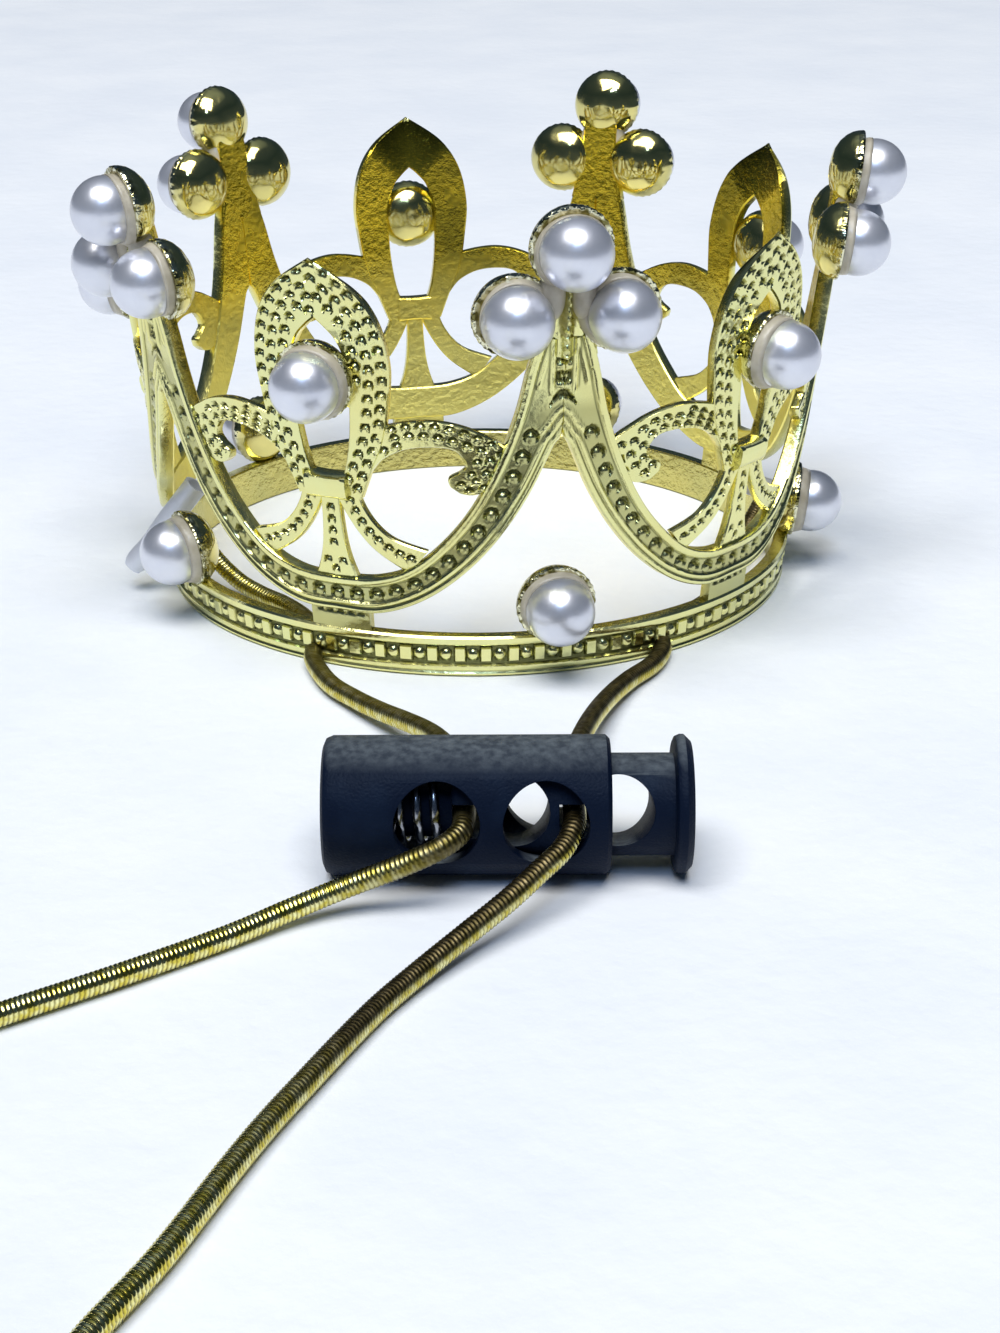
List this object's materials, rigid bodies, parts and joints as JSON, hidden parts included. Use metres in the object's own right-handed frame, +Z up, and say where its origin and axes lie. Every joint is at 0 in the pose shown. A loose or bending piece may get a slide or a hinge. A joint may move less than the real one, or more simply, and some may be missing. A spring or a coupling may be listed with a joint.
{
  "type": "pet crown",
  "caption": "Small openwork gold crown for a pet, set with pearls in round cups, with an elastic chin strap that runs through a sprung barrel cord lock.",
  "frame": {"origin": "on the crown's axis, in the plane that the band's lower edge rests on", "axes": "+Z up along the crown's axis, -Y through the front column, +X to the wearer's left seen from the front"},
  "size_m": [0.1199, 0.1664, 0.0422],
  "materials": {
    "gold_casting": "bright pale gold plating over a cast zinc alloy, darker in the sunk work",
    "pearl": "pearl lacquer, cool white with a soft sheen",
    "gold_cord": "metallic gold thread wound round an elastic core",
    "steel": "rolled bright steel",
    "lock_plastic": "black moulded plastic, satin"
  },
  "bodies": {
    "crown": {"casting": "gold_casting", "top_pearl_1": "pearl", "top_pearl_2": "pearl", "top_pearl_3": "pearl", "top_pearl_4": "pearl", "top_pearl_5": "pearl", "left_pearl_1": "pearl", "left_pearl_2": "pearl", "left_pearl_3": "pearl", "left_pearl_4": "pearl", "left_pearl_5": "pearl", "right_pearl_1": "pearl", "right_pearl_2": "pearl", "right_pearl_3": "pearl", "right_pearl_4": "pearl", "right_pearl_5": "pearl", "petal_pearl_1": "pearl", "petal_pearl_2": "pearl", "petal_pearl_3": "pearl", "petal_pearl_4": "pearl", "petal_pearl_5": "pearl", "band_pearl_1": "pearl", "band_pearl_2": "pearl", "band_pearl_3": "pearl", "band_pearl_4": "pearl", "band_pearl_5": "pearl", "strap_cord": "gold_cord", "left_barb": "steel", "right_barb": "steel", "lock_barrel": "lock_plastic", "lock_spring": "steel"},
    "plunger": {"lock_plunger": "lock_plastic"}
  },
  "joints": [
    {"name": "lock_press", "type": "slide", "parent": "crown", "child": "plunger", "axis": [-0.9744, 0.225, 0], "range_m": [0, 0.0034], "stiffness_N_per_m": 700, "springref_m": -0.004}
  ]
}
